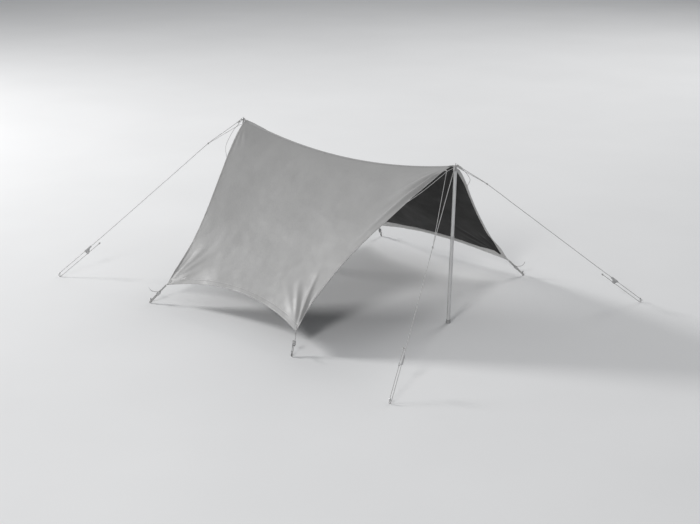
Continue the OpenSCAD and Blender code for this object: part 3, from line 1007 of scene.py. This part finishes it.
def make_strap(quarter, signs):
    """The strap, round its peg and up to the slider, and the loose end that rides on the slider."""
    x, y, z = line_axes(STRAP_FOOT, CORNER, 0)
    half = STRAP_GAP / 2
    route = [(0, STRAP_LENGTH - 0.003), (0, STRAP_LENGTH - 0.014), (half, 0.140), (half, 0.110),
             (half, 0.060), (half, 0.020)]
    route += [(half * math.cos(a), STRAP_LOOP_Z - half * math.sin(a)) for a in HALF_TURN]
    route += [(-half, 0.020), (-half, 0.060), (-half, SLIDER_Z[1] - 0.006)]
    points = resampled([place(STRAP_FOOT + x * a + z * b, *signs) for a, b in route], STRAP_STEP)
    strap = swept(quarter + "_strap", points, webbing(STRAP_W, STRAP_T), flat=turned(y, signs))
    finish_piece(strap, [WEBBING], [quarter + "_corner_strap"])
    outward = Vector((-z.x, -z.y, 0)).normalized()
    centre = STRAP_FOOT + z * (SLIDER_Z[0] + SLIDER_Z[1]) / 2
    across = z.cross(Vector((0, 0, 1))).normalized()
    tail_points = [centre + across * a + outward * b + Vector((0, 0, c)) for a, b, c in TAIL_ROUTE]
    tail_points = resampled([place(p, *signs) for p in tail_points], STRAP_STEP)
    tail = swept(quarter + "_tail", tail_points, webbing(STRAP_W, STRAP_T),
                 flat=turned(across, signs))
    finish_piece(tail, [WEBBING], [quarter + "_strap_tail"],
                 body=quarter + "_strap_slider")


ANCHOR_STEPS = 14
ANCHOR_REACH = 0.052
ANCHOR_PAST_CORNER = 0.006
ANCHOR_HALF_WIDTH = 0.0070
ANCHOR_LIFTS = (0.0026, -0.0038)
ANCHOR_WAY = (0.62, 0.78)
ANCHOR_UV = (0.03, 0.004)


def make_corner_anchor(quarter, signs):
    """The strap's sewn end: a folded tab of webbing over the corner, outside and inside."""
    rows = []
    for i in range(ANCHOR_STEPS + 1):
        reach = ANCHOR_REACH * i / ANCHOR_STEPS - ANCHOR_PAST_CORNER
        ring = []
        for lift, steps in zip(ANCHOR_LIFTS, (range(-3, 4), range(3, -4, -1))):
            for k in steps:
                across_by = ANCHOR_HALF_WIDTH * k / 3
                from_side = reach * ANCHOR_WAY[0] + across_by * ANCHOR_WAY[1]
                from_hem = reach * ANCHOR_WAY[1] - across_by * ANCHOR_WAY[0]
                u = 1 - max(0.0, from_side) / CORNER_X
                t = 1 - max(0.0, from_hem) / PANEL_DEPTH
                point, normal = skin(signs[0] * min(1, u), signs[1] * min(1, t))
                ring.append(point + normal * lift)
        rows.append(ring)
    n = len(rows[0])
    uvs = []
    wide, step = ANCHOR_UV
    for i in range(ANCHOR_STEPS):
        for j in range(n):
            a, b = j / n * wide, (j + 1) / n * wide
            uvs += [(a, i * step), (a, (i + 1) * step), (b, (i + 1) * step), (b, i * step)]
    uvs += [(0.0, 0.0)] * (2 * n)
    anchor = new_object(quarter + "_corner_anchor", [p for row in rows for p in row],
                        band_faces(ANCHOR_STEPS, n), uvs)
    turn_out(anchor)
    finish_piece(anchor, [WEBBING])


for quarter, signs in QUARTERS.items():
    make_strap(quarter, signs)
    make_corner_anchor(quarter, signs)


# Floor and lights

FLOOR_HALF = 60
LIGHTS = {
    "front": ((6.0, -15.0, 9.0), 3.5, 1050), "side": ((-15.0, -5.0, 7.5), 3.5, 1650),
    "back": ((-4.0, 15.0, 11.0), 8.0, 900),
}
LIT_POINT = Vector((CENTRE_X, 0, 0.6))
SKY = (0.9, 0.92, 0.95, 1)
SKY_STRENGTH = 0.32


def make_floor():
    corners = [(FLOOR_HALF * x, FLOOR_HALF * y, 0) for x, y in ((-1, -1), (1, -1), (1, 1), (-1, 1))]
    floor = new_object("floor", corners, [(0, 1, 2, 3)], smooth=False)
    dress(floor, floor_material())


def area_light(name, place_at, size, power):
    data = bpy.data.lights.new(name, "AREA")
    data.shape = "DISK"
    data.size = size
    data.energy = power
    light = bpy.data.objects.new(name, data)
    light.location = place_at
    aim(light, LIT_POINT - Vector(place_at))
    bpy.context.collection.objects.link(light)


make_floor()
for name, light in LIGHTS.items():
    area_light(name, *light)

world = bpy.data.worlds.new("studio")
world.use_nodes = True
world.node_tree.nodes["Background"].inputs["Color"].default_value = SKY
world.node_tree.nodes["Background"].inputs["Strength"].default_value = SKY_STRENGTH
bpy.context.scene.world = world
bpy.context.scene.view_settings.view_transform = "Standard"
